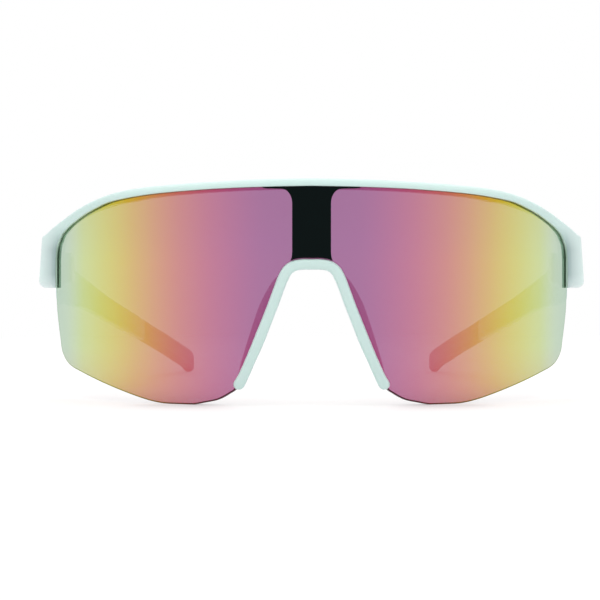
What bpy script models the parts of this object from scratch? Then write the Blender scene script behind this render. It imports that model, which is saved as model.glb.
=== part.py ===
"""Cycling sunglasses with a one-piece wrap lens, standing open on a table at Z = 0.

They face -Y and +X is the wearer's left. The lens is part of an upright cylinder, and the brow bar, the nose piece
and the middle trim all follow it. A place on the front is given by three numbers:
arc, the way along the lens's front face from the middle, height, and lift, the way out of that face to the front.
The brow bar follows the same line round a tight corner and back to the hinge, so its arc runs on past the lens.
An outline is a table of shares: the first number is a share of a length, the second a share of a height.
"""
import math

import bmesh
import bpy
from mathutils import Vector

mm = 0.001

# What all fits share
fit_gap = 0.3 * mm
overrun = 1.0 * mm

# Lens
lens_radius = 82.0 * mm
lens_half_arc = 77.6 * mm
lens_height = 53.2 * mm
lens_thickness = 2.0 * mm
lens_top_shares = (
    (0.0, 1.0),
    (0.35, 0.989),
    (0.525, 0.976),
    (0.626, 0.965),
    (0.691, 0.952),
    (0.748, 0.93),
    (0.811, 0.899),
    (0.853, 0.87),
    (0.895, 0.844),
    (0.929, 0.816),
    (0.955, 0.788),
    (0.975, 0.754),
    (0.991, 0.712),
    (0.999, 0.669),
    (1.0, 0.63),
)
lens_floor_shares = (
    (0.238, 0.072),
    (0.257, 0.053),
    (0.277, 0.036),
    (0.298, 0.023),
    (0.336, 0.011),
    (0.38, 0.0),
    (0.465, 0.0),
    (0.507, 0.0045),
    (0.553, 0.0165),
    (0.651, 0.052),
    (0.76, 0.095),
    (0.855, 0.134),
    (0.889, 0.148),
    (0.922, 0.169),
    (0.944, 0.195),
    (0.961, 0.227),
    (0.9725, 0.288),
    (0.9925, 0.406),
    (0.998, 0.464),
    (1.0, 0.524),
)

# Nose piece, along the middle of its band
nose_spread = 17.4 * mm
nose_height = 33.8 * mm
nose_width = 2.7 * mm
nose_back = 1.7 * mm
nose_edge = 0.45 * mm
nose_line_shares = (
    (0.0, 1.0),
    (0.138, 0.999),
    (0.247, 0.987),
    (0.328, 0.956),
    (0.385, 0.905),
    (0.437, 0.843),
    (0.563, 0.683),
    (0.759, 0.444),
    (0.902, 0.272),
    (1.0, 0.157),
)

# Nose pads, each from one share of the nose line's height to another
pad_thickness = 2.4 * mm
pad_depth = 8.5 * mm
pad_flare = 2.3 * mm
pad_edge = 0.5 * mm
pad_reach_shares = (0.93, 0.2)
pad_depth_shares = (
    (0.0, 0.35),
    (0.07, 0.63),
    (0.17, 0.82),
    (0.33, 1.0),
    (0.53, 0.85),
    (0.67, 0.68),
    (0.85, 0.42),
    (1.0, 0.2),
)

# Brow bar, whose lower edge covers the lens's rim, and whose height is taken at the middle
frame_proud = 1.25 * mm
rear_lip = 2.2 * mm
top_tuck = 0.7 * mm
side_tuck = 2.3 * mm
lip_drop = 0.7 * mm
lip_draft = 0.1 * mm
lip_corner = 0.8 * mm
lip_corner_cut_shares = (0.4, 1.0)
bar_round = 0.7 * mm
bar_edge = 0.3 * mm
bar_height = 2.1 * mm
brow_edge_shares = (
    (0.0, 1.0),
    (0.195, 0.996),
    (0.361, 0.989),
    (0.541, 0.975),
    (0.643, 0.964),
    (0.709, 0.95),
    (0.765, 0.928),
    (0.826, 0.897),
    (0.869, 0.869),
    (0.909, 0.844),
    (0.939, 0.819),
    (0.961, 0.798),
    (0.977, 0.771),
    (0.991, 0.745),
    (0.997, 0.71),
    (1.0, 0.676),
)
frame_top_shares = (
    (0.0, 1.0),
    (0.129, 0.997),
    (0.288, 0.988),
    (0.445, 0.975),
    (0.523, 0.962),
    (0.565, 0.95),
    (0.61, 0.932),
    (0.658, 0.908),
    (0.712, 0.876),
    (0.77, 0.838),
    (0.842, 0.797),
    (0.885, 0.775),
    (0.93, 0.757),
    (1.0, 0.702),
)

# Endpieces
endpiece_height = 10.0 * mm
endpiece_corner = 4.2 * mm
endpiece_reach = 7.1 * mm
endpiece_run = 6.7 * mm
endpiece_lean = 1.0 * mm
endpiece_cut_shares = (0.5, 0.75)
joint_thickness = 3.9 * mm
joint_angle = math.radians(8.0)

# Middle trim
strip_thickness = 0.65 * mm
strip_half_width = 4.6 * mm
strip_wing = 11.4 * mm
strip_wing_depth = 0.45 * mm
strip_fillet = 3.0 * mm
strip_foot = 1.1 * mm
strip_foot_height = 2.6 * mm
strip_foot_waist_shares = (0.3, 0.4)

# Arms, whose shares run from the joint to the end of the tip
temple_reach = 111.2 * mm
tip_half_spread = 40.0 * mm
temple_round = 0.8 * mm
sleeve_extra = 0.35 * mm
sleeve_share = 0.6
temple_plan_shares = (
    (0.0, 1.0),
    (0.05, 0.971),
    (0.11, 0.935),
    (0.237, 0.862),
    (0.372, 0.735),
    (0.498, 0.577),
    (0.624, 0.407),
    (0.741, 0.252),
    (0.849, 0.134),
    (0.93, 0.054),
    (1.0, 0.0),
)
temple_top_shares = (
    (0.0, 1.0),
    (0.02, 0.979),
    (0.09, 0.912),
    (0.139, 0.857),
    (0.217, 0.807),
    (0.295, 0.748),
    (0.38, 0.675),
    (0.458, 0.609),
    (0.567, 0.516),
    (0.672, 0.421),
    (0.757, 0.355),
    (0.85, 0.283),
    (0.93, 0.224),
    (0.975, 0.19),
    (0.99, 0.165),
    (1.0, 0.14),
)
temple_floor_shares = (
    (0.056, 0.735),
    (0.06, 0.64),
    (0.067, 0.622),
    (0.08, 0.614),
    (0.11, 0.607),
    (0.167, 0.597),
    (0.236, 0.577),
    (0.353, 0.505),
    (0.51, 0.385),
    (0.612, 0.303),
    (0.718, 0.214),
    (0.814, 0.138),
    (0.884, 0.088),
    (0.92, 0.06),
    (0.95, 0.0),
    (0.98, 0.0),
    (0.99, 0.03),
    (1.0, 0.09),
)
temple_thickness_shares = ((0.0, 1.0), (0.05, 0.95), (0.12, 0.82), (0.25, 0.72), (0.6, 0.68), (1.0, 0.7))
chin_cut_shares = (0.0, 0.6, 0.99)
arm_cut_shares = (0.13, 0.2, 0.29, 0.41, 0.46, 0.56)
tip_cut_shares = (0.612, 0.66, 0.718, 0.766, 0.814, 0.85, 0.884, 0.92, 0.935, 0.95, 0.98, 0.99, 1.0)

# Metal strip inside each arm and its sleeve
core_thickness = 0.9 * mm
core_height = 3.2 * mm
core_start_share = 0.46
core_end_share = 0.86
core_steps = 14

# Hinges
leaf_thickness = 0.9 * mm
barrel_radius = 1.5 * mm
barrel_inset = 0.12 * mm
end_knuckle = 2.2 * mm
middle_knuckle = 2.0 * mm
front_leaf_length = 6.0 * mm
temple_leaf_length = 8.0 * mm
screw_radius = 0.6 * mm
screw_head_radius = 1.2 * mm
screw_head = 0.7 * mm
screw_crown_shares = (0.75, 0.7)
screw_slot = 0.4 * mm
screw_slot_depth = 0.3 * mm
rivet_radius = 0.5 * mm
rivet_head_radius = 1.1 * mm
rivet_head = 0.5 * mm
rivet_crown_shares = (0.55, 0.6)
rivet_depth = 1.5 * mm
front_rivet_share = 0.66
temple_rivet_share = 0.62

# How finely curves are cut
facet_arc = 4.5 * mm
cut_snap = 0.05 * mm
curve_parts = 2
round_steps = 14
cap_steps = 4
corner_steps = 6
smooth_limit = math.radians(35)
edge_limit = math.radians(50)

# Sizes that follow from those above
brow_edge_arc = lens_half_arc - side_tuck
brow_edge_height = lens_height - top_tuck
frame_height = brow_edge_height + bar_height
endpiece_top = frame_top_shares[-1][1] * frame_height
endpiece_floor = endpiece_top - endpiece_height
frame_back = lens_thickness + fit_gap + rear_lip
joint_back = joint_thickness - frame_proud
endpiece_start = lens_half_arc + endpiece_reach
corner_angle = endpiece_start / lens_radius
corner_turn = math.pi / 2 + joint_angle - corner_angle
corner_arc = corner_turn * endpiece_corner
frame_arc = endpiece_start + corner_arc + endpiece_run
corner_centre = Vector((
    (lens_radius - endpiece_corner) * math.sin(corner_angle),
    lens_radius - (lens_radius - endpiece_corner) * math.cos(corner_angle),
))
hinge_height = 2 * end_knuckle + middle_knuckle + 2 * fit_gap


def rail(arc, lift):
    """(x, depth behind the lens's front) of a place that lies lift in front of the line round the glasses."""
    run = abs(arc)
    if run <= endpiece_start:
        angle = run / lens_radius
        reach = lens_radius + lift
        x, depth = reach * math.sin(angle), lens_radius - reach * math.cos(angle)
    else:
        turned = min(run - endpiece_start, corner_arc) / endpiece_corner
        angle = corner_angle + turned
        reach = endpiece_corner + lift
        x = corner_centre.x + reach * math.sin(angle)
        depth = corner_centre.y - reach * math.cos(angle)
        beyond = max(run - endpiece_start - corner_arc, 0)
        x += beyond * math.cos(angle)
        depth += beyond * math.sin(angle)
    return math.copysign(x, arc), depth


joint_x, joint_depth = rail(frame_arc + fit_gap, -joint_back)
overall_depth = frame_proud + joint_depth + temple_reach
front_y = frame_proud - overall_depth / 2


def place(arc, height, lift):
    """A place on the front in the object's own frame, with the origin under the middle of its box."""
    x, depth = rail(arc, lift)
    return Vector((x, front_y + depth, height))


def straight_back(arc, height, lift):
    """A place as far in front of or behind the lens's front face, measured straight along Y."""
    return place(arc, height, 0) - Vector((0, lift, 0))


def follow(shares, at):
    """The value at one place of a smooth curve through the shares, which never swings past them."""
    if at <= shares[0][0]:
        return shares[0][1]
    if at >= shares[-1][0]:
        return shares[-1][1]
    steps = [b[0] - a[0] for a, b in zip(shares, shares[1:])]
    slopes = [(b[1] - a[1]) / step for a, b, step in zip(shares, shares[1:], steps)]
    here = next(i for i, step in enumerate(steps) if at <= shares[i + 1][0])

    def tangent(i):
        if i == 0 or i == len(slopes):
            return slopes[min(i, len(slopes) - 1)]
        before, after = slopes[i - 1], slopes[i]
        if before * after <= 0:
            return 0.0
        first, second = 2 * steps[i] + steps[i - 1], steps[i] + 2 * steps[i - 1]
        return (first + second) / (first / before + second / after)

    step = steps[here]
    t = (at - shares[here][0]) / step
    start, end = shares[here][1], shares[here + 1][1]
    rise = t * t * (3 - 2 * t)
    return (
        start
        + (end - start) * rise
        + step * tangent(here) * t * (1 - t) ** 2
        - step * tangent(here + 1) * t * t * (1 - t)
    )


def sampled(shares, length, height):
    """Points along the smooth curve through the shares, closer where the shares lie closer."""
    points = []
    for (start, _), (end, _) in zip(shares, shares[1:]):
        for part in range(curve_parts):
            at = start + (end - start) * part / curve_parts
            points.append((at * length, follow(shares, at) * height))
    points.append((shares[-1][0] * length, shares[-1][1] * height))
    return points


def mirrored(points):
    """A half outline that starts in the middle, as a whole one from the -X side to the +X side."""
    return [(-x, z) for x, z in reversed(points)] + points[1:]


def grown(outline, gap):
    """The closed outline moved out by gap on all sides."""
    area = sum(a[0] * b[1] - b[0] * a[1] for a, b in zip(outline, outline[1:] + outline[:1]))
    out = []
    for before, here, after in zip(outline[-1:] + outline[:-1], outline, outline[1:] + outline[:1]):
        first = (Vector(here) - Vector(before)).normalized()
        second = (Vector(after) - Vector(here)).normalized()
        normal = Vector((first.y + second.y, -first.x - second.x)) * math.copysign(1, area)
        normal.normalize()
        out.append(tuple(Vector(here) + normal * gap))
    return out


def material(name, colour, roughness, metallic=0.0, alpha=1.0):
    """A plain material in the colour of the real surface."""
    made = bpy.data.materials.new(name)
    made.use_nodes = True
    shader = made.node_tree.nodes["Principled BSDF"]
    shader.inputs["Base Color"].default_value = (*colour, 1.0)
    shader.inputs["Roughness"].default_value = roughness
    shader.inputs["Metallic"].default_value = metallic
    shader.inputs["Alpha"].default_value = alpha
    return made


def solid(name, mesh_data, look, pivot=None):
    """An object from a bmesh, smooth but for its sharp edges, with its origin at the pivot."""
    bmesh.ops.recalc_face_normals(mesh_data, faces=mesh_data.faces)
    origin = pivot or Vector((0, 0, 0))
    bmesh.ops.translate(mesh_data, verts=mesh_data.verts, vec=-origin)
    mesh = bpy.data.meshes.new(name)
    mesh_data.to_mesh(mesh)
    mesh_data.free()
    mesh.shade_smooth()
    mesh.set_sharp_from_angle(angle=smooth_limit)
    if look:
        mesh.materials.append(look)
    made = bpy.data.objects.new(name, mesh)
    made.location = origin
    bpy.context.scene.collection.objects.link(made)
    return made


def combine(target, operand, operation):
    """Adds or cuts away another object, which stays as a hidden guide."""
    modifier = target.modifiers.new(operand.name, "BOOLEAN")
    modifier.operation = operation
    modifier.solver = "EXACT"
    modifier.object = operand
    operand.hide_render = True
    operand.display_type = "WIRE"


def loft(name, rings, look, pivot=None):
    """A closed tube through the rings, with its two ends filled."""
    mesh_data = bmesh.new()
    loops = [[mesh_data.verts.new(point) for point in ring] for ring in rings]
    for first, second in zip(loops, loops[1:]):
        for i in range(len(first)):
            j = (i + 1) % len(first)
            mesh_data.faces.new((first[i], first[j], second[j], second[i]))
    mesh_data.faces.new(loops[0])
    mesh_data.faces.new(reversed(loops[-1]))
    return solid(name, mesh_data, look, pivot)


def bent_sheet(name, outline, low, high, look, where=place):
    """A plate with this outline, bent round the lens's cylinder, between two lifts of the given kind."""
    flat = bmesh.new()
    flat.faces.new([flat.verts.new((arc, 0, height)) for arc, height in outline])
    cuts = math.ceil(max(abs(arc) for arc, _ in outline) / facet_arc)
    for cut in range(-cuts, cuts):
        bmesh.ops.bisect_plane(
            flat,
            geom=flat.verts[:] + flat.edges[:] + flat.faces[:],
            dist=cut_snap,
            plane_co=((cut + 0.5) * facet_arc, 0, 0),
            plane_no=(1, 0, 0),
        )
    mesh_data = bmesh.new()
    front = {v: mesh_data.verts.new(where(v.co.x, v.co.z, high)) for v in flat.verts}
    back = {v: mesh_data.verts.new(where(v.co.x, v.co.z, low)) for v in flat.verts}
    for face in flat.faces:
        mesh_data.faces.new([front[v] for v in face.verts])
        mesh_data.faces.new([back[v] for v in reversed(face.verts)])
    for edge in flat.edges:
        if edge.is_boundary:
            a, b = edge.verts
            mesh_data.faces.new((front[a], front[b], back[b], back[a]))
    flat.free()
    return solid(name, mesh_data, look)


def turned(name, profile, base, axis, look, pivot=None):
    """A round solid from (radius, way along the axis) points, from one end of the axis to the other."""
    turn = axis.to_track_quat("Z", "Y").to_matrix().to_4x4()
    rings = []
    for radius, along in profile:
        angles = [2 * math.pi * step / round_steps for step in range(round_steps)]
        ring = [Vector((radius * math.cos(a), radius * math.sin(a), along)) for a in angles]
        rings.append([base + turn @ point for point in ring])
    return loft(name, rings, look, pivot)


def block(name, corner_points, low, high, look, pivot=None):
    """An upright prism over a plan outline."""
    rings = [[Vector((x, y, height)) for x, y in corner_points] for height in (low, high)]
    return loft(name, rings, look, pivot)


def lens_outline():
    """The lens's whole edge: over the top, down the side, along the bottom and round the nose."""
    nose = sampled(nose_line_shares, nose_spread, nose_height)
    low = nose[:-1] + sampled(lens_floor_shares, lens_half_arc, lens_height)
    low = [point for i, point in enumerate(low) if i == 0 or point[0] > low[i - 1][0]]
    top = sampled(lens_top_shares, lens_half_arc, lens_height)
    return mirrored(top) + list(reversed(mirrored(low)))


def lens(looks):
    """Makes the lens, and returns the same shape with its clearance, which cuts the grooves that hold it."""
    outline = lens_outline()
    bent_sheet("shield_lens", outline, -lens_thickness, 0, looks["lens"])
    return bent_sheet("lens_pocket", grown(outline, fit_gap), -lens_thickness - fit_gap, fit_gap, None)


def front_floor(arc):
    """Height of the brow bar's lower front edge: over the lens, then down its side to the endpiece's floor."""
    if arc <= brow_edge_arc:
        return follow(brow_edge_shares, arc / brow_edge_arc) * brow_edge_height
    short = brow_edge_arc + lip_corner - arc
    if short > 0:
        return endpiece_floor + lip_corner - math.sqrt(max(lip_corner**2 - short**2, 0))
    return endpiece_floor


def frame_ring(arc):
    """The brow bar's section at one place: eight points from its lower front edge up, over and down behind."""
    run = abs(arc)
    front_low = front_floor(run)
    rear_low = max(front_floor(run + lip_drop) - lip_drop, endpiece_floor)
    top = follow(frame_top_shares, run / frame_arc) * frame_height
    sideways = min(max((run - brow_edge_arc) / (endpiece_start - brow_edge_arc), 0), 1)
    sideways = sideways * sideways * (3 - 2 * sideways)
    lean = endpiece_lean * sideways
    back = frame_back + (joint_back - frame_back) * sideways
    proud_top = frame_proud - lean
    section = (
        (frame_proud - bar_edge, front_low),
        (frame_proud, front_low + bar_edge),
        (proud_top, top - bar_round),
        (proud_top - bar_round, top),
        (bar_round - back, top),
        (-back, top - bar_round),
        (-back, rear_low + bar_edge),
        (bar_edge - back, rear_low),
    )
    return [place(arc, height, lift) for lift, height in section]


def front_frame(looks, pocket):
    """The brow bar with both endpieces, grooved for the lens."""
    runs = [x for x, _ in sampled(brow_edge_shares, brow_edge_arc, brow_edge_height)]
    rear_edge = brow_edge_arc - lip_drop
    runs += [rear_edge, rear_edge + lip_draft, brow_edge_arc + lip_draft]
    for edge in (brow_edge_arc, rear_edge):
        runs += [edge + lip_corner * share for share in lip_corner_cut_shares]
    runs += [brow_edge_arc + (endpiece_start - brow_edge_arc) * share for share in endpiece_cut_shares]
    runs += [endpiece_start + corner_arc * step / corner_steps for step in range(corner_steps + 1)]
    runs += [frame_arc - endpiece_run / 2, frame_arc]
    runs = sorted(runs)
    runs = [run for i, run in enumerate(runs) if i == 0 or run - runs[i - 1] > cut_snap / 2]
    rings = [frame_ring(-run) for run in reversed(runs)] + [frame_ring(run) for run in runs[1:]]
    piece = loft("front_frame", rings, looks["mint"])
    combine(piece, pocket, "DIFFERENCE")
    return piece


def nose_line():
    """The middle line of the nose piece's band, from the -X tip over the top to the +X tip."""
    return [Vector(point) for point in mirrored(sampled(nose_line_shares, nose_spread, nose_height))]


def side_normal(line, i):
    """The direction square to the line at one of its points, to the outer side of the U."""
    along = line[min(i + 1, len(line) - 1)] - line[max(i - 1, 0)]
    return Vector((-along.y, along.x)).normalized()


def nose_bridge(looks, pocket):
    """The upside-down U, round at its tips, grooved on its outer side for the lens."""
    line = nose_line()
    half = nose_width / 2
    outer = [line[i] + side_normal(line, i) * half for i in range(len(line))]
    inner = [line[i] - side_normal(line, i) * half for i in range(len(line))]
    caps = []
    for i, way in ((-1, 1), (0, -1)):
        normal = side_normal(line, i % len(line)) * way
        ahead = Vector((normal.y, -normal.x))
        turns = [math.pi * step / (2 * cap_steps) for step in range(1, 2 * cap_steps)]
        caps.append([line[i] + (normal * math.cos(a) + ahead * math.sin(a)) * half for a in turns])
    outline = [tuple(point) for point in outer + caps[0] + inner[::-1] + caps[1]]
    low = -lens_thickness - fit_gap - nose_back
    piece = bent_sheet("nose_bridge", outline, low, frame_proud, looks["mint"], straight_back)
    bevel = piece.modifiers.new("edges", "BEVEL")
    bevel.width = nose_edge
    bevel.segments = 2
    bevel.limit_method = "ANGLE"
    bevel.angle_limit = edge_limit
    combine(piece, pocket, "DIFFERENCE")


def nose_pad(side, looks):
    """A soft pad on the back of one leg, which flares out towards the face."""
    start_share, end_share = pad_reach_shares
    line = [point for point in nose_line() if point.x * side > 0]
    line = line if side > 0 else line[::-1]
    line = [point for point in line if end_share <= point.y / nose_height <= start_share]
    face = -lens_thickness - fit_gap - nose_back - fit_gap
    rings = []
    for i, point in enumerate(line):
        share = (line[0].y - point.y) / (line[0].y - line[-1].y)
        reach = follow(pad_depth_shares, share)
        normal = side_normal(line, i) * side
        normal = normal if normal.x * side > 0 else -normal
        depth, flare = pad_depth * reach, pad_flare * reach
        half = pad_thickness / 2
        section = (
            (half - pad_edge, 0),
            (half, pad_edge),
            (half + flare, depth - pad_edge),
            (half + flare - pad_edge, depth),
            (flare + pad_edge - half, depth),
            (flare - half, depth - pad_edge),
            (-half, pad_edge),
            (pad_edge - half, 0),
        )
        ring = []
        for out, back in section:
            spot = point + normal * out
            ring.append(straight_back(spot.x, spot.y, face - back))
        rings.append(ring)
    loft(f"nose_pad_{side_name(side)}", rings, looks["pad"])


def strip_outline():
    """The middle trim's edge: wings under the brow, straight sides and a foot on the nose piece's arch."""
    line = nose_line()
    arch = [line[i] + side_normal(line, i) * (nose_width / 2 + fit_gap) for i in range(len(line))]
    foot_half = strip_half_width + strip_foot
    arch = [(p.x, p.y) for p in arch if 0 <= p.x < foot_half and p.y > nose_height / 2]
    foot_floor = arch[-1][1] - fit_gap
    top = brow_edge_height - fit_gap
    waist_out, waist_up = strip_foot_waist_shares
    half = arch + [
        (foot_half, foot_floor),
        (strip_half_width + strip_foot * waist_out, foot_floor + strip_foot_height * waist_up),
        (strip_half_width, foot_floor + strip_foot_height),
    ]
    fillet_top = top - strip_wing_depth
    for step in range(corner_steps + 1):
        a = math.pi / 2 * step / corner_steps
        x = strip_half_width + strip_fillet * (1 - math.cos(a))
        half.append((x, fillet_top - strip_fillet * (1 - math.sin(a))))
    under = follow(brow_edge_shares, strip_wing / brow_edge_arc) * brow_edge_height - fit_gap
    half.append((strip_wing, under - fit_gap / 2))
    half.append((strip_wing, under))
    return half, top


def bridge_strip(looks):
    """The black trim plate on the front of the lens."""
    half, top = strip_outline()
    outline = mirrored(half) + [(0, top)]
    bent_sheet("bridge_strip", outline, fit_gap, fit_gap + strip_thickness, looks["black"])


def side_name(side):
    """The wearer's left is +X."""
    return "left" if side > 0 else "right"


def temple_height(shares, share):
    """Height of an arm's edge: the tables are shares of the arm's height where it meets the endpiece."""
    return follow(shares, share) * endpiece_top


def temple_spot(side, share):
    """(inner face's place, direction outwards) of an arm at a share of its length, in plan."""

    def spot(at):
        x = tip_half_spread + (joint_x - tip_half_spread) * follow(temple_plan_shares, at)
        return Vector((x, front_y + joint_depth + temple_reach * at))

    step = cut_snap / temple_reach
    if share <= 0:
        along = Vector((-math.sin(joint_angle), math.cos(joint_angle)))
    else:
        along = (spot(share + step) - spot(share - step)).normalized()
    inner = spot(share)
    outward = Vector((along.y, -along.x))
    return Vector((inner.x * side, inner.y)), Vector((outward.x * side, outward.y))


def temple_ring(side, share, grow=0.0):
    """An arm's section at a share of its length: eight points, with rounded edges."""
    inner, outward = temple_spot(side, share)
    thickness = joint_thickness * follow(temple_thickness_shares, share) + 2 * grow
    floor_share = max(share, temple_floor_shares[0][0])
    low = temple_height(temple_floor_shares, floor_share)
    if share < temple_floor_shares[0][0]:
        low = endpiece_floor
    top = temple_height(temple_top_shares, share)
    edge = min(temple_round, thickness / 3, (top - low) / 3)
    lean = endpiece_lean * max(1 - share / sleeve_share, 0)
    section = (
        (edge, low),
        (thickness - edge, low),
        (thickness, low + edge),
        (thickness - lean, top - edge),
        (thickness - lean - edge, top),
        (edge, top),
        (0, top - edge),
        (0, low + edge),
    )
    ring = []
    for out, height in section:
        spot = inner + outward * (out - grow)
        ring.append(Vector((spot.x, spot.y, height)))
    return ring


def core_ring(side, share, grow):
    """The metal strip's section at a share of the arm's length, in the middle of the arm."""
    inner, outward = temple_spot(side, share)
    middle = joint_thickness * follow(temple_thickness_shares, share) / 2
    low = temple_height(temple_floor_shares, share)
    centre = (low + temple_height(temple_top_shares, share)) / 2
    half, tall = core_thickness / 2 + grow, core_height / 2 + grow
    ring = []
    for out, up in ((-half, -tall), (half, -tall), (half, tall), (-half, tall)):
        spot = inner + outward * (middle + out)
        ring.append(Vector((spot.x, spot.y, centre + up)))
    return ring


def temple(side, looks, pivot):
    """Makes an arm, its rubber sleeve and the metal strip that joins them, and returns the arm."""
    name = side_name(side)
    chin = temple_floor_shares[0][0]
    room = fit_gap / temple_reach
    arm_shares = [chin * share for share in chin_cut_shares]
    arm_shares += [share for share, _ in temple_floor_shares if chin <= share < sleeve_share]
    arm_shares = sorted(arm_shares + [*arm_cut_shares, sleeve_share])
    tip_shares = [sleeve_share + room, *tip_cut_shares]
    rings = [temple_ring(side, share) for share in arm_shares]
    arm = loft(f"temple_arm_{name}", rings, looks["mint"], pivot)
    rings = [temple_ring(side, share, sleeve_extra) for share in tip_shares]
    tip = loft(f"temple_tip_{name}", rings, looks["rubber"], pivot)
    core_reach = core_end_share - core_start_share
    spans = [core_start_share + core_reach * step / core_steps for step in range(core_steps + 1)]
    loft(f"temple_core_{name}", [core_ring(side, s, 0) for s in spans], looks["steel"], pivot)
    spans[0] -= room
    spans[-1] += room
    pocket = loft(f"core_pocket_{name}", [core_ring(side, s, fit_gap) for s in spans], None, pivot)
    combine(arm, pocket, "DIFFERENCE")
    combine(tip, pocket, "DIFFERENCE")
    return arm


class HingeFrame:
    """Plan directions at one joint: back along the arm's inner face, and in towards the head."""

    def __init__(self, side):
        x, depth = rail(frame_arc + fit_gap / 2, -joint_back)
        self.side = side
        self.start = Vector((x * side, front_y + depth))
        self.back = Vector((-math.sin(joint_angle) * side, math.cos(joint_angle)))
        self.inward = Vector((-math.cos(joint_angle) * side, -math.sin(joint_angle)))
        self.middle = (endpiece_floor + endpiece_top) / 2
        self.low = self.middle - hinge_height / 2

    def spot(self, back, inward):
        """A plan place, back from the joint and in from the inner face."""
        return self.start + self.back * back + self.inward * inward

    def axis(self):
        """The hinge pin's place at the hinge's middle height."""
        spot = self.spot(0, fit_gap + barrel_inset + barrel_radius)
        return Vector((spot.x, spot.y, self.middle))


def leaf_comb(frame, outline, look, name, pivot=None):
    """A hinge leaf's flat metal, from an outline of (way back, height) points."""
    rings = []
    for inward in (fit_gap, fit_gap + leaf_thickness):
        ring = []
        for back, height in outline:
            spot = frame.spot(back, inward)
            ring.append(Vector((spot.x, spot.y, height)))
        rings.append(ring)
    return loft(name, rings, look, pivot)


def barrel(frame, low, high, name):
    """One knuckle, solid; its bore is cut later."""
    axis = frame.axis()
    base = Vector((axis.x, axis.y, low))
    profile = ((barrel_radius, 0), (barrel_radius, high - low))
    return turned(name, profile, base, Vector((0, 0, 1)), None)


def bore(frame, name):
    """The cutter for the hole down the knuckles."""
    axis = frame.axis()
    base = Vector((axis.x, axis.y, frame.low - overrun))
    radius = screw_radius + fit_gap
    profile = ((radius, 0), (radius, hinge_height + 2 * overrun))
    return turned(name, profile, base, Vector((0, 0, 1)), None)


def rivet(frame, along, look, name, pivot=None):
    """Makes a round-headed rivet through a leaf, and returns the cutter for its hole."""
    spot = frame.spot(along, fit_gap + leaf_thickness + fit_gap + rivet_head)
    base = Vector((spot.x, spot.y, frame.middle))
    outward = Vector((-frame.inward.x, -frame.inward.y, 0))
    neck = rivet_head + fit_gap + leaf_thickness + fit_gap
    deep = neck + rivet_depth
    crown, edge = rivet_crown_shares
    profile = (
        (rivet_head_radius * crown, 0),
        (rivet_head_radius, rivet_head * edge),
        (rivet_head_radius, rivet_head),
        (rivet_radius, rivet_head),
        (rivet_radius, deep),
    )
    turned(name, profile, base, outward, look, pivot)
    radius = rivet_radius + fit_gap
    profile = ((radius, rivet_head), (radius, deep + fit_gap))
    return turned(f"{name}_hole", profile, base, outward, None)


def hinge(side, looks, endpiece, arm):
    """Both metal leaves of one hinge, its screw and the rivets that hold the leaves."""
    frame = HingeFrame(side)
    name = side_name(side)
    pivot = frame.axis()
    low, high = frame.low, frame.low + hinge_height
    lower, upper = low + end_knuckle, high - end_knuckle
    clear = barrel_radius + fit_gap
    hole = bore(frame, f"screw_bore_{name}")

    inset_low, inset_high = low + barrel_inset, high - barrel_inset
    comb = [
        (-front_leaf_length, inset_low),
        (0, inset_low),
        (0, lower - barrel_inset),
        (-clear, lower - barrel_inset),
        (-clear, upper + barrel_inset),
        (0, upper + barrel_inset),
        (0, inset_high),
        (-front_leaf_length, inset_high),
    ]
    front = leaf_comb(frame, comb, looks["steel"], f"hinge_leaf_front_{name}")
    for part, (start, end) in enumerate(((low, lower), (upper, high))):
        combine(front, barrel(frame, start, end, f"front_knuckle_{part}_{name}"), "UNION")
    combine(front, hole, "DIFFERENCE")

    start, end = lower + fit_gap, upper - fit_gap
    comb = [
        (temple_leaf_length, inset_low),
        (clear, inset_low),
        (clear, start + barrel_inset),
        (0, start + barrel_inset),
        (0, end - barrel_inset),
        (clear, end - barrel_inset),
        (clear, inset_high),
        (temple_leaf_length, inset_high),
    ]
    back = leaf_comb(frame, comb, looks["steel"], f"hinge_leaf_temple_{name}", pivot)
    combine(back, barrel(frame, start, end, f"temple_knuckle_{name}"), "UNION")
    combine(back, hole, "DIFFERENCE")

    base = Vector((pivot.x, pivot.y, low))
    head_base = hinge_height + fit_gap
    crown, edge = screw_crown_shares
    profile = (
        (screw_radius, 0),
        (screw_radius, head_base),
        (screw_head_radius, head_base),
        (screw_head_radius, head_base + screw_head * edge),
        (screw_head_radius * crown, head_base + screw_head),
    )
    screw = turned(f"hinge_screw_{name}", profile, base, Vector((0, 0, 1)), looks["steel"])
    slot_low = low + head_base + screw_head - screw_slot_depth
    wide, half = screw_head_radius + overrun, screw_slot / 2
    corners = [(pivot.x + x, pivot.y + y) for x, y in ((-wide, -half), (wide, -half), (wide, half), (-wide, half))]
    slot = block(f"screw_slot_{name}", corners, slot_low, slot_low + screw_head + overrun, None)
    combine(screw, slot, "DIFFERENCE")

    along = -front_leaf_length * front_rivet_share
    cut = rivet(frame, along, looks["steel"], f"front_leaf_rivet_{name}")
    combine(front, cut, "DIFFERENCE")
    combine(endpiece, cut, "DIFFERENCE")
    along = temple_leaf_length * temple_rivet_share
    cut = rivet(frame, along, looks["steel"], f"temple_leaf_rivet_{name}", pivot)
    combine(back, cut, "DIFFERENCE")
    combine(arm, cut, "DIFFERENCE")


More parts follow.
